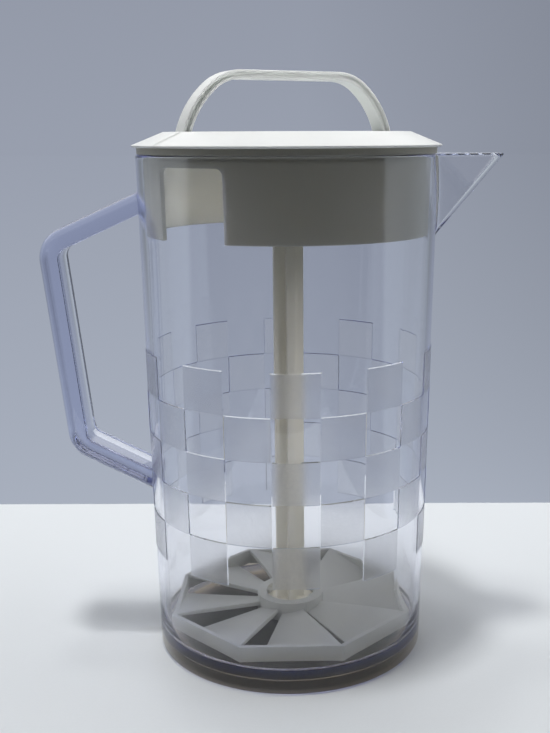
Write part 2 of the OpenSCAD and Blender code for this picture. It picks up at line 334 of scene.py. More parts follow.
class Wiring:
    """A material or world node tree, built one node at a time."""

    def __init__(self, owner):
        owner.use_nodes = True
        self.tree = owner.node_tree
        self.tree.nodes.clear()

    def add(self, kind, settings=None, **inputs):
        node = self.tree.nodes.new(kind)
        for key, value in (settings or {}).items():
            setattr(node, key, value)
        for key, value in inputs.items():
            self.feed(node, key.replace("_", " "), value)
        return node

    def feed(self, node, socket, value):
        """A socket, by name or by number, gets either a constant or another node's output."""
        target = node.inputs[int(socket)] if socket.isdigit() else node.inputs[socket]
        if isinstance(value, bpy.types.NodeSocket):
            self.tree.links.new(value, target)
        else:
            target.default_value = value

    def ramp(self, source, stops):
        """A colour read from (place, colour) stops."""
        node = self.add("ShaderNodeValToRGB", Fac=source)
        band = node.color_ramp
        while len(band.elements) < len(stops):
            band.elements.new(0.5)
        for element, (place, colour) in zip(band.elements, stops):
            element.position = place
            element.color = rgba(colour)
        return node.outputs["Color"]

    def noise(self, where, scale, detail, roughness):
        node = self.add("ShaderNodeTexNoise", Vector=where, Scale=scale, Detail=detail, Roughness=roughness)
        return node.outputs["Fac"]

    def bump(self, height, strength, distance):
        return self.add("ShaderNodeBump", Height=height, Strength=strength, Distance=distance)

    def maths(self, operation, a, b=0.0):
        node = self.add("ShaderNodeMath", {"operation": operation})
        self.feed(node, "0", a)
        self.feed(node, "1", b)
        return node.outputs[0]

    def blend(self, factor, a, b):
        """A colour between a and b."""
        node = self.add("ShaderNodeMix", {"data_type": "RGBA"}, Factor=factor)
        self.feed(node, "6", a if isinstance(a, bpy.types.NodeSocket) else rgba(a))
        self.feed(node, "7", b if isinstance(b, bpy.types.NodeSocket) else rgba(b))
        return node.outputs[2]

    def scaled(self, colour, factor):
        node = self.add("ShaderNodeVectorMath", {"operation": "SCALE"}, Scale=factor)
        self.feed(node, "0", colour)
        return node.outputs["Vector"]

    def spread(self, value, low, high, to_low=0.0, to_high=1.0):
        """A number that runs from to_low to to_high while the value runs from low to high."""
        node = self.add("ShaderNodeMapRange", Value=value)
        self.feed(node, "From Min", low)
        self.feed(node, "From Max", high)
        self.feed(node, "To Min", to_low)
        self.feed(node, "To Max", to_high)
        return node.outputs["Result"]

    def mixed(self, factor, a, b):
        """A shader between a and b."""
        node = self.add("ShaderNodeMixShader", Fac=factor)
        self.feed(node, "1", a)
        self.feed(node, "2", b)
        return node.outputs[0]


def rgba(colour):
    return (colour[0], colour[1], colour[2], 1.0)


def tinted(colour, factor):
    return tuple(min(c * factor, 1.0) for c in colour)


def moulded_plastic(name, colour, warmth, roughness, glow, depth=0.004):
    """Injection moulded opaque plastic: a fine eroded texture, faint flow clouds and handling marks."""
    material = bpy.data.materials.new(name)
    w = Wiring(material)
    where = w.add("ShaderNodeTexCoord").outputs["Object"]
    clouds = w.noise(where, CLOUD_SCALE, detail=4.0, roughness=0.6)
    warm = tuple(c * f for c, f in zip(colour, warmth))
    tone = w.ramp(clouds, [(0.3, tinted(colour, CLOUD_DARK)), (0.55, colour), (0.75, warm)])
    grain = w.noise(where, GRAIN_SCALE, detail=2.0, roughness=0.6)
    bump = w.bump(grain, GRAIN_STRENGTH, GRAIN_DEPTH)
    scuffs = w.noise(where, SCUFF_SCALE, detail=5.0, roughness=0.7)
    gloss = w.spread(scuffs, 0.35, 0.75, roughness - SCUFF_POLISHED, roughness + SCUFF_DULLED)
    shader = w.add("ShaderNodeBsdfPrincipled", Roughness=gloss, IOR=MOULDED_IOR)
    w.feed(shader, "Normal", bump.outputs["Normal"])
    w.feed(shader, "Base Color", tone)
    w.feed(shader, "Subsurface Weight", glow)
    w.feed(shader, "Subsurface Radius", (depth, depth, depth))
    w.feed(shader, "Subsurface Scale", 1.0)
    w.add("ShaderNodeOutputMaterial", Surface=shader.outputs[0])
    return material


def clear_surface(w, where, frosted):
    """Clear styrene with faint smears and mould waves; faces marked frost are etched and scatter light."""
    smears = w.noise(where, SMEAR_SCALE, detail=5.0, roughness=0.65)
    rough = w.spread(smears, 0.5, 0.8, *SMEAR_ROUGHNESS)
    waves = w.noise(where, WAVE_SCALE, detail=2.0, roughness=0.5)
    normal = w.bump(waves, WAVE_STRENGTH, WAVE_DEPTH).outputs["Normal"]
    if frosted:
        frost = w.add("ShaderNodeAttribute", {"attribute_name": "frost"}).outputs["Fac"]
        specks = w.add("ShaderNodeTexVoronoi", Vector=where, Scale=FROST_SCALE)
        grain = w.add("ShaderNodeSeparateColor", Color=specks.outputs["Color"]).outputs["Red"]
        rough = w.spread(frost, 0.0, 1.0, rough, w.spread(grain, 0.0, 1.0, *FROST_ROUGHNESS))
        pitted = w.noise(where, FROST_SCALE, detail=2.0, roughness=0.6)
        pits = w.bump(pitted, w.maths("MULTIPLY", frost, PIT_STRENGTH), PIT_DEPTH)
        w.feed(pits, "Normal", normal)
        normal = pits.outputs["Normal"]
    shader = w.add("ShaderNodeBsdfPrincipled", Roughness=rough, IOR=CLEAR_IOR, Normal=normal)
    height = w.add("ShaderNodeSeparateXYZ", Vector=where).outputs["Z"]
    # painted shade: the base colour turns darker and less blue towards the foot
    w.feed(shader, "Base Color", w.blend(w.spread(height, *FOOT_PAINTED_SHADE_Z), FOOT_PAINTED_SHADE, CLEAR))
    w.feed(shader, "Transmission Weight", 1.0)
    if not frosted:
        return shader.outputs[0]
    scatter = w.add("ShaderNodeBsdfTranslucent", Color=rgba(FROST_COLOUR), Normal=normal)
    share = w.maths("MULTIPLY", frost, w.spread(grain, 0.0, 1.0, *FROST_SCATTER))
    return w.mixed(share, shader.outputs[0], scatter.outputs[0])


def clear_plastic(name, frosted, shade):
    """Clear plastic with a violet-blue body tint. Its shadow has the given shade, or the spout's own."""
    material = bpy.data.materials.new(name)
    w = Wiring(material)
    where = w.add("ShaderNodeTexCoord").outputs["Object"]
    surface = clear_surface(w, where, frosted)
    outwards = w.add("ShaderNodeSeparateXYZ", Vector=where).outputs["X"]
    cast = w.blend(w.spread(outwards, *SPOUT_SHADE_X), shade, SPOUT_SHADE)
    shadow = w.add("ShaderNodeBsdfTransparent", Color=cast)
    light = w.add("ShaderNodeLightPath")
    body = w.add("ShaderNodeVolumeAbsorption", Color=rgba(ABSORPTION), Density=ABSORPTION_DENSITY)
    out = w.add("ShaderNodeOutputMaterial", Volume=body.outputs[0])
    w.feed(out, "Surface", w.mixed(light.outputs["Is Shadow Ray"], surface, shadow.outputs[0]))
    return material


def new_piece(name, mesh, node, body, material, sharp=SHARP_ANGLE):
    """An object of one mesh, riding on its body in place of a CAD node."""
    mesh.materials.clear()
    mesh.materials.append(material)
    mesh.polygons.foreach_set("use_smooth", [True] * len(mesh.polygons))
    mesh.set_sharp_from_angle(angle=math.radians(sharp))
    piece = bpy.data.objects.new(name, mesh)
    bpy.context.scene.collection.objects.link(piece)
    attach(piece, body)
    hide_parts(node)
    return piece


def jug_radius(z):
    """Outer radius of the plain wall at a height."""
    return BASE_R + (RIM_R - BASE_R) * z / JUG_H


def soft_max(a, b, reach):
    """The larger of two numbers, with a fillet where they are nearly equal."""
    overlap = max(reach - abs(a - b), 0.0)
    return max(a, b) + overlap * overlap / (4 * reach)


def angle_apart(a, b):
    """The smaller angle between two directions."""
    return abs((a - b + 180.0) % 360.0 - 180.0)


def spout_half_angle():
    """Angle between the spout's keel and its straight sides, in plan at the rim."""
    side_x = math.sqrt(RIM_R ** 2 - SPOUT_HALF_W ** 2) - SPOUT_SIDE_SINK
    run = SPOUT_TIP - SPOUT_NOSE_R - side_x
    return math.atan2(SPOUT_HALF_W, run) - math.asin(SPOUT_NOSE_R / math.hypot(run, SPOUT_HALF_W))


def beak_radius(angle, z, inset):
    """Distance from the axis to the beak's side, at an angle from its keel; 0 away from the beak."""
    turn = math.radians(angle_apart(angle, 0.0))
    root_z = JUG_H - SPOUT_DROP
    grow = (z - root_z) / SPOUT_DROP
    if turn > math.radians(SPOUT_SPREAD) or grow < KEEL_START:
        return 0.0
    half_angle = spout_half_angle()
    sine = math.sin(half_angle)
    root_x = jug_radius(root_z)
    keel = root_x + grow * (SPOUT_TIP - root_x) - inset
    radius = max(KEEL_R + grow * (SPOUT_NOSE_R - KEEL_R) - inset, KEEL_LEAST_R)
    centre = keel - radius
    vertex = centre + radius / sine
    touch = math.atan2(radius * math.cos(half_angle), centre + radius * sine)
    if turn < touch:
        return centre * math.cos(turn) + math.sqrt(radius ** 2 - (centre * math.sin(turn)) ** 2)
    return vertex * sine / math.sin(half_angle + turn)


def outer_radius(angle, z):
    return soft_max(jug_radius(z), beak_radius(angle, z, 0.0), SPOUT_FILLET)


def inner_radius(angle, z):
    return soft_max(jug_radius(z) - WALL, beak_radius(angle, z, WALL), SPOUT_FILLET)


def steps(start, end, size):
    """Evenly spaced numbers from start to end, about size apart, both ends included."""
    count = max(1, round(abs(end - start) / size))
    return [start + (end - start) * i / count for i in range(count + 1)]


def jug_columns():
    """Angles round the jug, closer together near the keel, each with the checker column it belongs to."""
    turn = 360.0 / COLUMNS
    inset = math.degrees(PANEL_INSET / BASE_R)
    columns = []
    for column in range(COLUMNS):
        low = BAND_ANGLE + column * turn + inset
        high = low + turn - 2 * inset
        for angle in steps(low, high, COLUMN_STEP):
            columns.append((angle, column))
    taken = [angle % 360.0 for angle, column in columns]
    fine = set()
    for reach, step in KEEL_COLUMNS:
        fine.update(steps(-reach, reach, step))
    for angle in sorted(fine):
        if min(angle_apart(angle, other) for other in taken) > COLUMN_GAP:
            column = int(((angle - BAND_ANGLE) % 360.0) // turn)
            columns.append((angle, column))
            taken.append(angle % 360.0)
    return sorted(columns, key=lambda entry: (entry[0] - BAND_ANGLE) % 360.0)


def arc_points(centre, radius, start, end, count):
    points = []
    for i in range(count + 1):
        angle = math.radians(start + (end - start) * i / count)
        points.append((centre[0] + radius * math.cos(angle), centre[1] + radius * math.sin(angle)))
    return points


def foot_points():
    """Section of the jug's underside and foot ring, as (radius, height) from the middle outwards."""
    inner = FOOT_IN_R - UNDERSIDE_FILLET
    points = [(share * FOOT_IN_R, FOOT_H) for share in DISC_RINGS]
    points += arc_points((inner, FOOT_H - UNDERSIDE_FILLET), UNDERSIDE_FILLET, 90.0, 0.0, EDGE_STEPS)
    points += arc_points((FOOT_IN_R + FOOT_IN_ROUND, FOOT_IN_ROUND), FOOT_IN_ROUND, 180.0, 270.0, EDGE_STEPS)
    points += arc_points((jug_radius(0) - FOOT_ROUND, FOOT_ROUND), FOOT_ROUND, -90.0, 0.0, ROUND_STEPS)[:-1]
    return points


def floor_points():
    """Section of the jug's inside floor and its fillet, as (radius, height) from the wall inwards."""
    centre = (jug_radius(FLOOR_Z) - WALL - FLOOR_FILLET, FLOOR_Z + FLOOR_FILLET)
    points = arc_points(centre, FLOOR_FILLET, 0.0, -90.0, ROUND_STEPS)[1:]
    points += [(share * FOOT_IN_R, FLOOR_Z) for share in reversed(DISC_RINGS)]
    return points


def jug_rows():
    """Rings of the closed jug from the middle of its underside, up the outside, over the lip, to its floor.

    Each ring is (height, checker row or None, radius as a function of the angle)."""
    rings = []

    def plain(points):
        for radius, z in points:
            rings.append((z, None, lambda angle, radius=radius: radius))

    def outside(z, row=None, back=0.0):
        rings.append((z, row, lambda angle: outer_radius(angle, z) - back))

    def inside(z, back=0.0):
        rings.append((z, None, lambda angle: inner_radius(angle, z) + back))

    band_top = BAND_Z + ROWS * ROW_H + PANEL_INSET
    spout_low = JUG_H - SPOUT_DROP - SPOUT_MARGIN
    plain(foot_points())
    for z in steps(FOOT_ROUND, BAND_Z - PANEL_INSET, WALL_STEP):
        outside(z)
    for row in range(ROWS):
        low = BAND_Z + row * ROW_H + PANEL_INSET
        for z in steps(low, low + ROW_H - 2 * PANEL_INSET, PANEL_STEP):
            outside(z, row)
    for z in steps(band_top, spout_low, WALL_STEP)[:-1]:
        outside(z)
    for z in steps(spout_low, JUG_H - LIP_ROUND, SPOUT_STEP):
        outside(z)
    for x, z in arc_points((0.0, JUG_H - LIP_ROUND), LIP_ROUND, 0.0, 90.0, LIP_STEPS)[1:]:
        outside(z, None, LIP_ROUND - x)
    for x, z in arc_points((0.0, JUG_H - INNER_LIP), INNER_LIP, 90.0, 0.0, LIP_STEPS)[:-1]:
        inside(z, INNER_LIP - x)
    for z in steps(JUG_H - INNER_LIP, spout_low, SPOUT_STEP):
        inside(z)
    for z in steps(spout_low, FLOOR_Z + FLOOR_FILLET, WALL_STEP)[1:]:
        inside(z)
    plain(floor_points())
    return rings


def frosted_cell(row, column):
    return row is not None and (row + column) % 2 == 0


def jug_mesh():
    """The jug as one closed skin, with its raised panels and its underside marked in the attribute frost."""
    columns = jug_columns()
    rings = jug_rows()
    verts = []
    for z, row, radius in rings:
        for angle, column in columns:
            r = radius(angle) + (RELIEF if frosted_cell(row, column) else 0.0)
            turn = math.radians(angle)
            verts.append((r * math.cos(turn) * MM, r * math.sin(turn) * MM, z * MM))
    width = len(columns)
    faces = []
    marks = []
    slopes = []
    for i in range(len(rings) - 1):
        level = rings[i][1] == rings[i + 1][1]
        row = rings[i][1] if level else None
        for j in range(width):
            k = (j + 1) % width
            faces.append((i * width + j, i * width + k, (i + 1) * width + k, (i + 1) * width + j))
            same = columns[j][1] == columns[k][1]
            etched = i < UNDERSIDE_RINGS or (same and frosted_cell(row, columns[j][1]))
            marks.append(1.0 if etched else 0.0)
            slopes.append(not level or (row is not None and not same))
    for ring, on_top in ((0, False), (len(rings) - 1, True)):
        centre = len(verts)
        verts.append((0.0, 0.0, rings[ring][0] * MM))
        for j in range(width):
            k = (j + 1) % width
            corner = (ring * width + j, ring * width + k)
            faces.append((centre, corner[0], corner[1]) if on_top else (centre, corner[1], corner[0]))
            marks.append(0.0 if on_top else 1.0)
            slopes.append(False)
    mesh = bpy.data.meshes.new("jug_wall")
    mesh.from_pydata(verts, [], faces)
    frost = mesh.attributes.new("frost", "FLOAT", "FACE")
    frost.data.foreach_set("value", marks)
    slope = mesh.attributes.new("slope", "BOOLEAN", "FACE")
    slope.data.foreach_set("value", slopes)
    return mesh


def crisp_slopes(mesh):
    """Shades the narrow slopes round the panels flat, so that the panels keep crisp edges."""
    slopes = mesh.attributes["slope"]
    for face in mesh.polygons:
        if slopes.data[face.index].value:
            face.use_smooth = False


def cross_point(p, u, q, v):
    """Where the line through p along u meets the line through q along v."""
    reach = ((q[0] - p[0]) * v[1] - (q[1] - p[1]) * v[0]) / (u[0] * v[1] - u[1] * v[0])
    return p + u * reach


def rounded_corner(a, p, b, radius, count):
    """Points of the arc that touches both sides of the corner p, on the way from a to b."""
    u = (a - p).normalized()
    v = (b - p).normalized()
    half = math.acos(u.dot(v)) / 2
    centre = p + (u + v).normalized() * radius / math.sin(half)
    start = p + u * radius / math.tan(half) - centre
    end = p + v * radius / math.tan(half) - centre
    first = math.atan2(start.y, start.x)
    sweep = (math.atan2(end.y, end.x) - first + 3 * math.pi) % (2 * math.pi) - math.pi
    points = []
    for i in range(count + 1):
        angle = first + sweep * i / count
        points.append(centre + radius * Vector((math.cos(angle), math.sin(angle))))
    return points


def rounded_loop(corners, count=CORNER_STEPS):
    """A closed outline of (x, y, edge radius) corners, each rounded, with its straight sides held flat."""
    points = []
    for i, (x, y, radius) in enumerate(corners):
        here = Vector((x, y))
        back = Vector(corners[i - 1][:2]) - here
        onward = Vector(corners[(i + 1) % len(corners)][:2]) - here
        if radius == 0.0:
            points.append(here)
            continue
        bend = rounded_corner(here + back, here, here + onward, radius, count)
        points.append(bend[0] + back.normalized() * CORNER_HOLD)
        points += bend
        points.append(bend[-1] + onward.normalized() * CORNER_HOLD)
    return points


def finished(name, verts, faces):
    """A mesh in metres from points in millimetres, with doubles merged and faces turned outwards."""
    mesh = bpy.data.meshes.new(name)
    mesh.from_pydata([Vector(v) * MM for v in verts], [], faces)
    work = bmesh.new()
    work.from_mesh(mesh)
    bmesh.ops.remove_doubles(work, verts=work.verts, dist=MERGE)
    bmesh.ops.recalc_face_normals(work, faces=work.faces)
    work.to_mesh(mesh)
    work.free()
    return mesh


def tube_faces(count, width):
    """Faces of a closed tube: its two ends, and the sides between count rings of width points each."""
    faces = [tuple(range(width)), tuple(reversed(range((count - 1) * width, count * width)))]
    for i in range(count - 1):
        for j in range(width):
            k = (j + 1) % width
            faces.append((i * width + j, (i + 1) * width + j, (i + 1) * width + k, i * width + k))
    return faces


def handle_line():
    """Centre line of the loop in its plane, as (distance from the axis, height), from root to root."""
    upper = Vector(UPPER_CORNER)
    lower = Vector(LOWER_CORNER)
    top_root = Vector((jug_radius(HANDLE_TOP), HANDLE_TOP))
    low_root = Vector((jug_radius(HANDLE_BOTTOM), HANDLE_BOTTOM))
    inset = HANDLE_T / 2
    lines = []
    for start, end in ((top_root, upper), (upper, lower), (lower, low_root)):
        along = (end - start).normalized()
        inwards = Vector((along.y, -along.x))
        lines.append((start + inwards * inset, along))
    corner_a = cross_point(*lines[0], *lines[1])
    corner_b = cross_point(*lines[1], *lines[2])
    root_a = lines[0][0]
    root_b = corner_b + lines[2][1] * (corner_b.x - low_root.x) / abs(lines[2][1].x)
    radius = HANDLE_R - inset
    points = [root_a]
    points += rounded_corner(root_a, corner_a, corner_b, radius, HANDLE_BEND_STEPS)
    points += rounded_corner(corner_a, corner_b, root_b, radius, HANDLE_BEND_STEPS)
    points.append(root_b)
    return points


def handle_section():
    """The bar's rounded outline as (offset outwards, offset across)."""
    half_t = HANDLE_T / 2
    half_w = HANDLE_W / 2
    outline = []
    for side_t, side_w, edge, start in (
        (1, 1, HANDLE_OUTER_EDGE, 0.0),
        (-1, 1, HANDLE_INNER_EDGE, 90.0),
        (-1, -1, HANDLE_INNER_EDGE, 180.0),
        (1, -1, HANDLE_OUTER_EDGE, 270.0),
    ):
        centre = (side_t * (half_t - edge), side_w * (half_w - edge))
        outline += arc_points(centre, edge, start, start + 90.0, HANDLE_EDGE_STEPS)
    return outline


def onto_wall(point, along, across):
    """Slides a point of the bar's end along the bar until it lies just inside the jug's outer wall."""
    reach = 0.0
    for attempt in range(ROOT_ATTEMPTS):
        place = point + along * reach
        gap = math.hypot(place.x, across) - (jug_radius(place.y) - ROOT_SINK)
        reach -= gap / along.x
    return point + along * reach


def handle_mesh():
    """The solid bar of the loop, swept along its line, with its ends shaped to the jug's wall."""
    line = handle_line()
    section = handle_section()
    last = len(line) - 1
    verts = []
    for i, point in enumerate(line):
        before = line[max(i - 1, 0)]
        after = line[min(i + 1, last)]
        along = ((point - before).normalized() + (after - point).normalized()).normalized()
        outwards = Vector((-along.y, along.x))
        for out, across in section:
            place = point + outwards * out
            if i in (0, last):
                place = onto_wall(place, along, across)
            verts.append((-place.x, across, place.y))
    return finished("jug_handle", verts, tube_faces(len(line), len(section)))


def turned(name, profile):
    """A closed profile of (radius, height) points, turned round the jug's axis."""
    width = len(profile)
    verts = []
    faces = []
    for i in range(TURNED_STEPS):
        turn = 2 * math.pi * i / TURNED_STEPS
        ahead = (i + 1) % TURNED_STEPS
        for j, point in enumerate(profile):
            k = (j + 1) % width
            verts.append((point[0] * math.cos(turn), point[0] * math.sin(turn), point[1]))
            if max(point[0], profile[k][0]) > 0.0:
                faces.append((i * width + j, ahead * width + j, ahead * width + k, i * width + k))
    return finished(name, verts, faces)


def prism(name, outline, place, low, high):
    """An outline of (u, v) points pushed from low to high; place(u, v, depth) puts each corner in space."""
    width = len(outline)
    verts = [place(u, v, depth) for depth in (low, high) for u, v in outline]
    faces = [tuple(range(width)), tuple(range(width, 2 * width))]
    for j in range(width):
        k = (j + 1) % width
        faces.append((j, k, width + k, width + j))
    return finished(name, verts, faces)


def upright(turn):
    """Puts a plan outline in space, turned about the jug's axis, with its depth as height."""
    cosine = math.cos(math.radians(turn))
    sine = math.sin(math.radians(turn))
    return lambda u, v, depth: (u * cosine - v * sine, u * sine + v * cosine, depth)


def radial(turn):
    """Puts an outline of (across, height) in space, pushed outwards from the axis along an angle."""
    cosine = math.cos(math.radians(turn))
    sine = math.sin(math.radians(turn))
    return lambda u, v, depth: (depth * cosine - u * sine, depth * sine + u * cosine, v)


def rectangle(half_l, half_w):
    return [(-half_l, -half_w), (half_l, -half_w), (half_l, half_w), (-half_l, half_w)]


def circle(radius):
    return arc_points((0.0, 0.0), radius, 0.0, 360.0, CIRCLE_STEPS)[:-1]


def cross_outline(half_span, half_t):
    """Plan of the rod: two crossed ribs."""
    quarter = [(half_t, half_t), (half_t, half_span), (-half_t, half_span)]
    outline = []
    for turn in range(4):
        for u, v in quarter:
            for step in range(turn):
                u, v = -v, u
            outline.append((u, v))
    return outline


def softened(mesh, edge, cutters=()):
    """The mesh less its cutters, with the edges that stay sharp rounded as a mould leaves them."""
    helper = bpy.data.objects.new("helper", mesh)
    bpy.context.scene.collection.objects.link(helper)
    tools = []
    for cutter in cutters:
        tool = bpy.data.objects.new("cutter", cutter)
        bpy.context.scene.collection.objects.link(tool)
        cut = helper.modifiers.new("cut", "BOOLEAN")
        cut.operation = "DIFFERENCE"
        cut.solver = "EXACT"
        cut.object = tool
        tools.append(tool)
    bevel = helper.modifiers.new("edges", "BEVEL")
    bevel.width = edge * MM
    bevel.segments = BEVEL_STEPS
    bevel.limit_method = "ANGLE"
    bevel.angle_limit = math.radians(BEVEL_ANGLE)
    bevel.use_clamp_overlap = True
    bevel.miter_outer = "MITER_ARC"
    graph = bpy.context.evaluated_depsgraph_get()
    result = bpy.data.meshes.new_from_object(helper.evaluated_get(graph))
    for thing in [helper] + tools:
        bpy.data.objects.remove(thing)
    return result


def joined(name, meshes):
    """Several meshes as one."""
    work = bmesh.new()
    for mesh in meshes:
        work.from_mesh(mesh)
    result = bpy.data.meshes.new(name)
    work.to_mesh(result)
    work.free()
    return result


def cad_copy(name, node, edge):
    """A copy of a CAD node's mesh with its sharp edges rounded."""
    work = bmesh.new()
    work.from_mesh(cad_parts[node].data)
    bmesh.ops.remove_doubles(work, verts=work.verts, dist=CAD_MERGE)
    flat = math.radians(CAD_FLAT)
    bmesh.ops.dissolve_limit(work, angle_limit=flat, verts=work.verts, edges=work.edges)
    mesh = bpy.data.meshes.new(name)
    work.to_mesh(mesh)
    work.free()
    return softened(mesh, edge)


def cover_profile():
    """Half section of the lid's cover: sloped cap, brim and the ring that plugs into the skirt."""
    inner_r = PLUG_R - LID_T
    slope = (BRIM_R - CAP_TOP_R) / (LID_TOP - CAP_Z)
    set_in = LID_T * math.hypot(1.0, slope)
    under_z = LID_TOP - LID_T
    return rounded_loop([
        (0.0, under_z, 0.0),
        (CAP_TOP_R + slope * LID_T - set_in, under_z, 0.0),
        (inner_r, CAP_Z + (BRIM_R - set_in - inner_r) / slope, 0.0),
        (inner_r, BRIM_Z - PLUG_H, 0.0),
        (PLUG_R, BRIM_Z - PLUG_H, 0.0),
        (PLUG_R, BRIM_Z, 0.0),
        (BRIM_R - BRIM_SET_IN, BRIM_Z, BRIM_EDGE),
        (BRIM_R, CAP_Z - CAP_RIM_DROP, CAP_RIM_EDGE),
        (CAP_TOP_R, LID_TOP, CAP_TOP_EDGE),
        (0.0, LID_TOP, 0.0),
    ])


def ridge_mesh():
    """The fine ridge down the cap's slope, as a low tent that tapers off at both ends."""
    place = radial(RIDGE_ANGLE)
    start_r = CAP_TOP_R + RIDGE_TOP_GAP
    end_r = BRIM_R - RIDGE_LOW_GAP
    fall = (LID_TOP - CAP_Z) / (BRIM_R - CAP_TOP_R)
    along = (0.0, RIDGE_TAPER, 1.0 - RIDGE_TAPER, 1.0)
    verts = []
    for reach in along:
        r = start_r + (end_r - start_r) * reach
        z = LID_TOP - fall * (r - CAP_TOP_R)
        rise = RIDGE_RISE * min(1.0, reach / RIDGE_TAPER, (1.0 - reach) / RIDGE_TAPER)
        for across, lift in ((-RIDGE_HALF_W, -RIDGE_SINK), (0.0, rise), (RIDGE_HALF_W, -RIDGE_SINK)):
            verts.append(place(across, z + lift, r))
    faces = []
    for i in range(len(along) - 1):
        for j in (0, 1):
            faces.append((3 * i + j, 3 * i + j + 1, 3 * i + j + 4, 3 * i + j + 3))
    return finished("ridge", verts, faces)


def cover_mesh():
    """The lid's cover with the plunger's slot, the rod's guide and its cross-shaped hole."""
    turn = upright(LID_ANGLE)
    half_l = ARCH_HALF_SPAN + SLOT_GAP
    half_w = ARCH_W / 2 + SLOT_GAP
    under_z = LID_TOP - LID_T
    above_z = LID_TOP + CUT_PAST
    slot_walls = rectangle(half_l + SLOT_WALL, half_w + SLOT_WALL)
    hole = cross_outline(ROD_SPAN / 2 + SLOT_GAP, RIB_T / 2 + SLOT_GAP)
    solids = (
        turned("cap", cover_profile()),
        prism("slot_walls", slot_walls, turn, SLOT_Z - SLOT_FLOOR, under_z),
        prism("guide", circle(GUIDE_R), turn, GUIDE_Z, under_z),
    )
    pieces = [ridge_mesh()]
    for solid in solids:
        cutters = (
            prism("slot", rectangle(half_l, half_w), turn, SLOT_Z, above_z),
            prism("boss_room", circle(BOSS_R + SLOT_GAP), turn, SLOT_Z - CUT_APART, above_z),
            prism("rod_hole", hole, upright(ROD_ANGLE), GUIDE_Z - CUT_PAST, above_z),
        )
        pieces.append(softened(solid, COVER_EDGE, cutters))
    return joined("cover", pieces)


def skirt_mesh():
    """The ivory insert: a tapered ring with a flange and the pour notch."""
    low_r = jug_radius(SKIRT_Z) - WALL - SKIRT_GAP
    top_r = RIM_R - WALL - SKIRT_GAP
    profile = rounded_loop([
        (low_r - LID_T, SKIRT_Z, SKIRT_LOW_EDGE),
        (low_r, SKIRT_Z, SKIRT_LOW_EDGE),
        (top_r, JUG_H - SKIRT_OUTER_TAPER, 0.0),
        (top_r, FLANGE_Z, 0.0),
        (FLANGE_R, FLANGE_Z, FLANGE_EDGE),
        (FLANGE_R, BRIM_Z, FLANGE_EDGE),
        (top_r - LID_T, BRIM_Z, 0.0),
        (top_r - LID_T, JUG_H - SKIRT_INNER_TAPER, 0.0),
    ])
    notch = rounded_loop([
        (-NOTCH_W / 2, SKIRT_Z - CUT_PAST, 0.0),
        (NOTCH_W / 2, SKIRT_Z - CUT_PAST, 0.0),
        (NOTCH_W / 2, NOTCH_TOP, NOTCH_R),
        (-NOTCH_W / 2, NOTCH_TOP, NOTCH_R),
    ], NOTCH_STEPS)
    cutter = prism("notch", notch, radial(NOTCH_ANGLE), NOTCH_FROM, RIM_R)
    return softened(turned("skirt", profile), NOTCH_EDGE, [cutter])


def arch_line():
    """Middle line of the strap in its plane, as (distance along the slot, height), from foot to foot."""
    lean = math.radians(LEG_LEAN)
    centre = (ARCH_HALF_SPAN - LEG_R * math.cos(lean), -LEG_R * math.sin(lean))
    turn = math.asin((ARCH_H - ARCH_R - centre[1]) / (LEG_R - ARCH_R))
    corner = (centre[0] + (LEG_R - ARCH_R) * math.cos(turn), ARCH_H - ARCH_R)
    inset = ARCH_T / 2
    foot_z = BAR_Z + LEG_FOOT_RISE - LID_TOP
    foot = math.asin((foot_z - centre[1]) / (LEG_R - inset))
    half = arc_points(centre, LEG_R - inset, math.degrees(foot), math.degrees(turn), LEG_STEPS)
    half += arc_points(corner, ARCH_R - inset, math.degrees(turn), 90.0, ARCH_STEPS)[1:]
    return [Vector(p) for p in half] + [Vector((-p[0], p[1])) for p in reversed(half)]


def strap_section():
    """Outline of the strap as (offset outwards, offset across): a bar with a groove along both sides."""
    half_t = ARCH_T / 2
    half_w = ARCH_W / 2
    lip = GROOVE_W / 2
    web = half_w - GROOVE_DEPTH
    corners = [
        (half_t, -half_w),
        (half_t, half_w),
        (lip, half_w),
        (lip, web),
        (-lip, web),
        (-lip, half_w),
        (-half_t, half_w),
        (-half_t, -half_w),
        (-lip, -half_w),
        (-lip, -web),
        (lip, -web),
        (lip, -half_w),
    ]
    return rounded_loop([(out, across, STRAP_EDGE) for out, across in corners], STRAP_STEPS)


def arch_mesh():
    """The plunger's handle: the strap swept over its arch, and the bar and boss that sit in the lid."""
    line = arch_line()
    section = strap_section()
    place = upright(LID_ANGLE)
    last = len(line) - 1
    verts = []
    for i, point in enumerate(line):
        along = (line[min(i + 1, last)] - line[max(i - 1, 0)]).normalized()
        outwards = Vector((along.y, -along.x))
        for out, across in section:
            spot = point + outwards * out
            verts.append(place(spot.x, across, spot.y + LID_TOP))
    strap = finished("strap", verts, tube_faces(len(line), len(section)))
    bar = prism("bar", rectangle(ARCH_HALF_SPAN, ARCH_W / 2), place, BAR_Z, LID_TOP)
    boss = prism("boss", circle(BOSS_R), place, BAR_Z, LID_TOP)
    return joined("arch", [strap, softened(bar, BAR_EDGE), softened(boss, BAR_EDGE)])


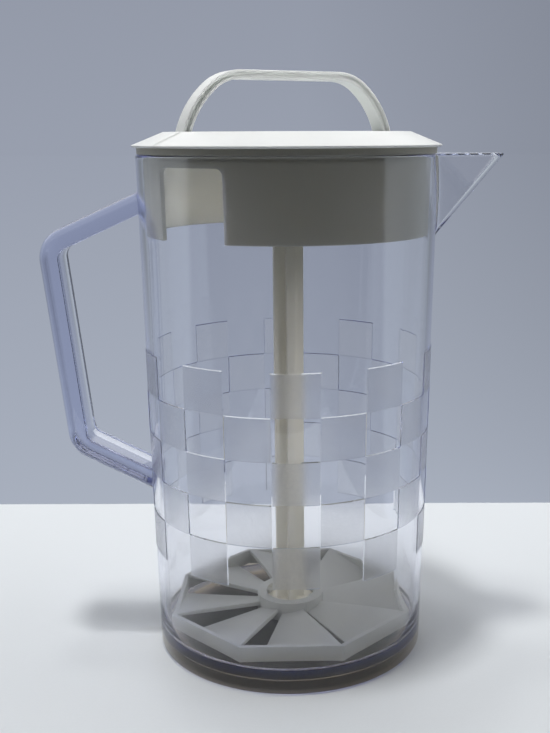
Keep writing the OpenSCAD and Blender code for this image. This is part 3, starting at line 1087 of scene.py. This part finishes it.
def make_pieces():
    """One dressed piece in place of each CAD node."""
    wall_look = clear_plastic("clear_wall", True, WALL_SHADE)
    bar_look = clear_plastic("clear_bar", False, BAR_SHADE)
    white = moulded_plastic("white_lid", PLASTIC_WHITE, WARM_WHITE, roughness=0.34, glow=0.25)
    # painted shade: the insert takes a darkened copy of the rod's ivory
    ivory = moulded_plastic("ivory_insert_shaded", PLASTIC_IVORY_SHADED, WARM_IVORY, roughness=0.38, glow=1.0, depth=0.008)
    pale_ivory = moulded_plastic("ivory_rod", PLASTIC_ROD, WARM_IVORY, roughness=0.38, glow=0.2, depth=0.0012)
    grey = moulded_plastic("grey_white_paddle", PLASTIC_GREY_WHITE, WARM_WHITE, roughness=0.42, glow=0.35)
    rod = cad_copy("rod", "plunger_rod", ROD_EDGE)
    paddle = cad_copy("paddle", "paddle_wheel", PADDLE_EDGE)
    wall = new_piece("jug_wall", jug_mesh(), "jug_shell", "jug", wall_look, WALL_SHARP_ANGLE)
    crisp_slopes(wall.data)
    new_piece("jug_handle", handle_mesh(), "side_handle", "jug", bar_look, BAR_SHARP_ANGLE)
    new_piece("cover", cover_mesh(), "lid_cover", "lid", white)
    new_piece("skirt", skirt_mesh(), "lid_skirt", "lid", ivory)
    new_piece("arch", arch_mesh(), "plunger_handle", "plunger", white)
    new_piece("rod", rod, "plunger_rod", "plunger", pale_ivory)
    new_piece("paddle", paddle, "paddle_wheel", "plunger", grey)


def backdrop_rays(w, light):
    """1 for the rays that show the backdrop: those of the camera, of gloss and of clear plastic."""
    seen = w.maths("MAXIMUM", light.outputs["Is Camera Ray"], light.outputs["Is Glossy Ray"])
    return w.maths("MAXIMUM", seen, light.outputs["Is Transmission Ray"])


def side_walls(w, depth, light):
    """The dark room around the object, with bright side walls that show only in reflections."""
    stops = [(place, tinted(SIDE_WALLS, level)) for place, level in SIDE_LEVELS]
    glow = w.ramp(w.spread(depth, *SIDE_DEPTH), stops)
    return w.blend(light.outputs["Is Glossy Ray"], ROOM, w.scaled(glow, SIDE_GLOW))


def board_shader(w, where, depth, away):
    """White board with a fine paper grain, with painted light that makes it a little brighter at its back and
    a painted shadow where the jug covers it.
    """
    paper = w.noise(where, PAPER_SCALE, detail=3.0, roughness=0.6)
    pale = w.ramp(paper, [(0.3, tinted(BOARD, PAPER_DARK)), (0.7, BOARD)])
    bump = w.bump(paper, PAPER_STRENGTH, PAPER_DEPTH)
    # painted shadow: the board is darkened where the jug stands on it
    painted_foot_shadow = w.spread(away, *FOOT_SHADOW_PAINTED_R, FOOT_SHADOW_PAINTED_LEVEL, 1.0)
    # painted light: the board is brightened towards its back
    painted_back_light = w.spread(depth, BOARD_PAINTED_LIGHT_FROM, BOARD_BACK, 1.0, BOARD_PAINTED_LIGHT)
    board = w.add("ShaderNodeBsdfPrincipled", Roughness=BOARD_ROUGHNESS, Normal=bump.outputs["Normal"])
    w.feed(board, "Base Color", w.scaled(pale, w.maths("MULTIPLY", painted_foot_shadow, painted_back_light)))
    return board.outputs[0]


def ground_shader(w, side, depth, away):
    """The ground past the board: a plain backdrop in a wedge behind the jug, the dark room elsewhere."""
    light = w.add("ShaderNodeLightPath")
    fade = w.maths("DIVIDE", BOARD_BACK + GROUND_FADE, w.maths("ADD", away, GROUND_FADE))
    far = w.spread(fade, 1.0, 0.0)
    aside = w.maths("DIVIDE", side, away)
    dusk = w.spread(w.maths("MULTIPLY", aside, far), 0.0, DUSK_AT, 1.0, DUSK)
    shade = w.scaled(w.ramp(far, [(0.0, GROUND_NEAR), (1.0, GROUND_FAR)]), dusk)
    onward = w.maths("MAXIMUM", w.maths("ADD", depth, WEDGE_FROM), WEDGE_LEAST)
    slant = w.maths("DIVIDE", w.maths("ABSOLUTE", side), onward)
    between = w.spread(slant, *WEDGE_EDGE, 1.0, 0.0)
    within = w.maths("MULTIPLY", w.spread(depth, *WEDGE_FRONT), between)
    room = side_walls(w, w.maths("DIVIDE", depth, away), light)
    shown = w.add("ShaderNodeEmission", Color=w.blend(within, room, shade), Strength=1.0)
    dull = w.add("ShaderNodeBsdfDiffuse", Color=rgba(GROUND_DULL))
    return w.mixed(backdrop_rays(w, light), dull.outputs[0], shown.outputs[0])


def floor_material():
    """A white board on a grey-blue ground, which the camera, gloss and glass see as a plain backdrop."""
    material = bpy.data.materials.new("floor")
    w = Wiring(material)
    where = w.add("ShaderNodeTexCoord").outputs["Object"]
    apart = w.add("ShaderNodeSeparateXYZ", Vector=where)
    side = apart.outputs["X"]
    depth = apart.outputs["Y"]
    length = w.add("ShaderNodeVectorMath", {"operation": "LENGTH"})
    w.feed(length, "0", where)
    away = length.outputs["Value"]
    beside = w.maths("GREATER_THAN", w.maths("ABSOLUTE", side), BOARD_HALF_X)
    behind = w.maths("GREATER_THAN", depth, BOARD_BACK)
    before = w.maths("LESS_THAN", depth, BOARD_FRONT)
    off_board = w.maths("MAXIMUM", w.maths("MAXIMUM", beside, behind), before)
    board = board_shader(w, where, depth, away)
    ground = ground_shader(w, side, depth, away)
    w.add("ShaderNodeOutputMaterial", Surface=w.mixed(off_board, board, ground))
    return material


def make_floor():
    half = GROUND_HALF
    mesh = bpy.data.meshes.new("floor")
    corners = [(-half, -half, 0.0), (half, -half, 0.0), (half, half, 0.0), (-half, half, 0.0)]
    mesh.from_pydata(corners, [], [(0, 1, 2, 3)])
    mesh.materials.append(floor_material())
    floor = bpy.data.objects.new("floor", mesh)
    floor.location.z = -GROUND_DROP
    bpy.context.scene.collection.objects.link(floor)


def make_world():
    """The surround: a backdrop, a dark room, a dome that is dimmer through clear plastic, and soft fill."""
    world = bpy.data.worlds.new("world")
    bpy.context.scene.world = world
    w = Wiring(world)
    light = w.add("ShaderNodeLightPath")
    where = w.add("ShaderNodeTexCoord").outputs["Generated"]
    apart = w.add("ShaderNodeSeparateXYZ", Vector=where)
    height = apart.outputs["Z"]
    depth = apart.outputs["Y"]
    dusk = w.spread(apart.outputs["X"], 0.0, DUSK_AT, 1.0, DUSK)
    shade = w.scaled(w.ramp(height, [(0.0, SKY_LOW), (SKY_HIGH_AT, SKY_HIGH)]), dusk)
    walls = w.blend(w.spread(depth, *BACKDROP_EDGE), side_walls(w, depth, light), shade)
    back = w.spread(depth, *CEILING_DEPTH)
    ceiling = w.blend(back, CEILING_FRONT, CEILING_BACK)
    dome = w.blend(back, DOME_FRONT, DOME_BACK)
    direct = w.maths("LESS_THAN", light.outputs["Diffuse Depth"], 0.5)
    through = w.maths("MULTIPLY", direct, light.outputs["Is Transmission Ray"])
    overhead = w.blend(through, dome, ceiling)
    around = w.blend(w.spread(height, *CEILING_HEIGHT), walls, overhead)
    shown = w.add("ShaderNodeBackground", Color=around, Strength=1.0)
    soft = w.ramp(w.spread(depth, *FILL_DEPTH), [(0.0, FILL_FRONT), (1.0, FILL_BACK)])
    fill = w.add("ShaderNodeBackground", Color=soft, Strength=1.0)
    surround = w.mixed(backdrop_rays(w, light), fill.outputs[0], shown.outputs[0])
    w.add("ShaderNodeOutputWorld", Surface=surround)


def soft_lamp(name, place, aim, size, power):
    """A rectangular lamp that lights the object and isn't seen itself, except as a gloss."""
    data = bpy.data.lights.new(name, "AREA")
    data.shape = "RECTANGLE"
    data.size = size[0]
    data.size_y = size[1]
    data.energy = power
    lamp = bpy.data.objects.new(name, data)
    bpy.context.scene.collection.objects.link(lamp)
    lamp.location = place
    lamp.rotation_euler = (Vector(aim) - Vector(place)).to_track_quat("-Z", "Y").to_euler()
    lamp.visible_camera = False
    lamp.visible_transmission = False
    return lamp


def side_lamp(name, place, power):
    """A large lamp beside the object that faces straight across and leaves no gloss."""
    lamp = soft_lamp(name, place, (0.0, place[1], place[2]), SIDE_LAMP, power)
    lamp.visible_glossy = False


def beam_lamp(name, place, width, spread, power):
    """A low strip of light whose narrow level beam misses the table and leaves no gloss."""
    lamp = soft_lamp(name, place, (0.0, 0.0, place[2]), (width, BEAM_STRIP), power)
    lamp.data.spread = math.radians(spread)
    lamp.visible_glossy = False


def make_lights():
    soft_lamp("ceiling_front", (-0.15, -0.28, 1.6), CEILING_AIM, CEILING_LAMP, power=2.7)
    soft_lamp("ceiling_middle", (-0.13, -0.14, 1.6), CEILING_AIM, CEILING_LAMP, power=8.9)
    soft_lamp("ceiling_back", (-0.15, 0.2, 1.6), CEILING_AIM, CEILING_LAMP, power=1.8)
    soft_lamp("top", (0.0, 0.3, 1.3), aim=(0.0, 0.2, 0.0), size=(1.2, 1.0), power=0.9)
    side_lamp("left", (-0.62, 0.43, 0.46), power=1.6)
    side_lamp("right", (0.62, 0.42, 0.46), power=2.4)
    beam_lamp("back_beam", (0.0, 0.8, 0.196), width=0.16, spread=4.0, power=0.22)
    beam_lamp("left_beam", (-0.8, 0.02, 0.196), width=0.12, spread=4.0, power=0.008)
    beam_lamp("rod_beam", (0.53, -0.53, 0.11), width=0.12, spread=11.4, power=0.014)
    beam_lamp("arch_beam", (0.75, -0.35, 0.256), width=0.12, spread=4.0, power=0.005)


set_camera()
make_pieces()
make_floor()
make_world()
make_lights()

bpy.context.scene.view_settings.view_transform = "Standard"
bpy.context.scene.cycles.max_bounces = 32
bpy.context.scene.cycles.glossy_bounces = 24
bpy.context.scene.cycles.transmission_bounces = 24
bpy.context.scene.cycles.transparent_max_bounces = 32
